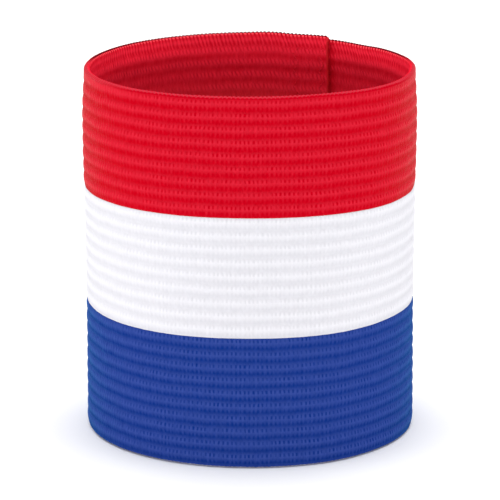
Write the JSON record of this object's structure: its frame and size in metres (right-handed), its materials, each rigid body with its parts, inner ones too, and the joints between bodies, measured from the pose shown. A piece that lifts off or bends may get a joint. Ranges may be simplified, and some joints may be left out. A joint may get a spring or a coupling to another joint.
{
  "type": "captain armband",
  "caption": "Wide ribbed elastic armband, an open tube lapped and sewn at the back, striped in red, white and blue",
  "frame": {"origin": "centre of the lower edge, at the surface that the armband stands on", "axes": "+Z is the axis of the tube, from the blue edge up to the red edge; the lap is at the back, towards +Y and a little to +X"},
  "size_m": [0.0811, 0.0809, 0.09],
  "materials": {
    "red_elastic": "ribbed woven elastic, matt, bright red",
    "white_elastic": "ribbed woven elastic, matt, white",
    "blue_elastic": "ribbed woven elastic, matt, deep blue"
  },
  "bodies": {
    "root": {"red_band": "red_elastic", "white_band": "white_elastic", "blue_band": "blue_elastic"}
  },
  "joints": []
}
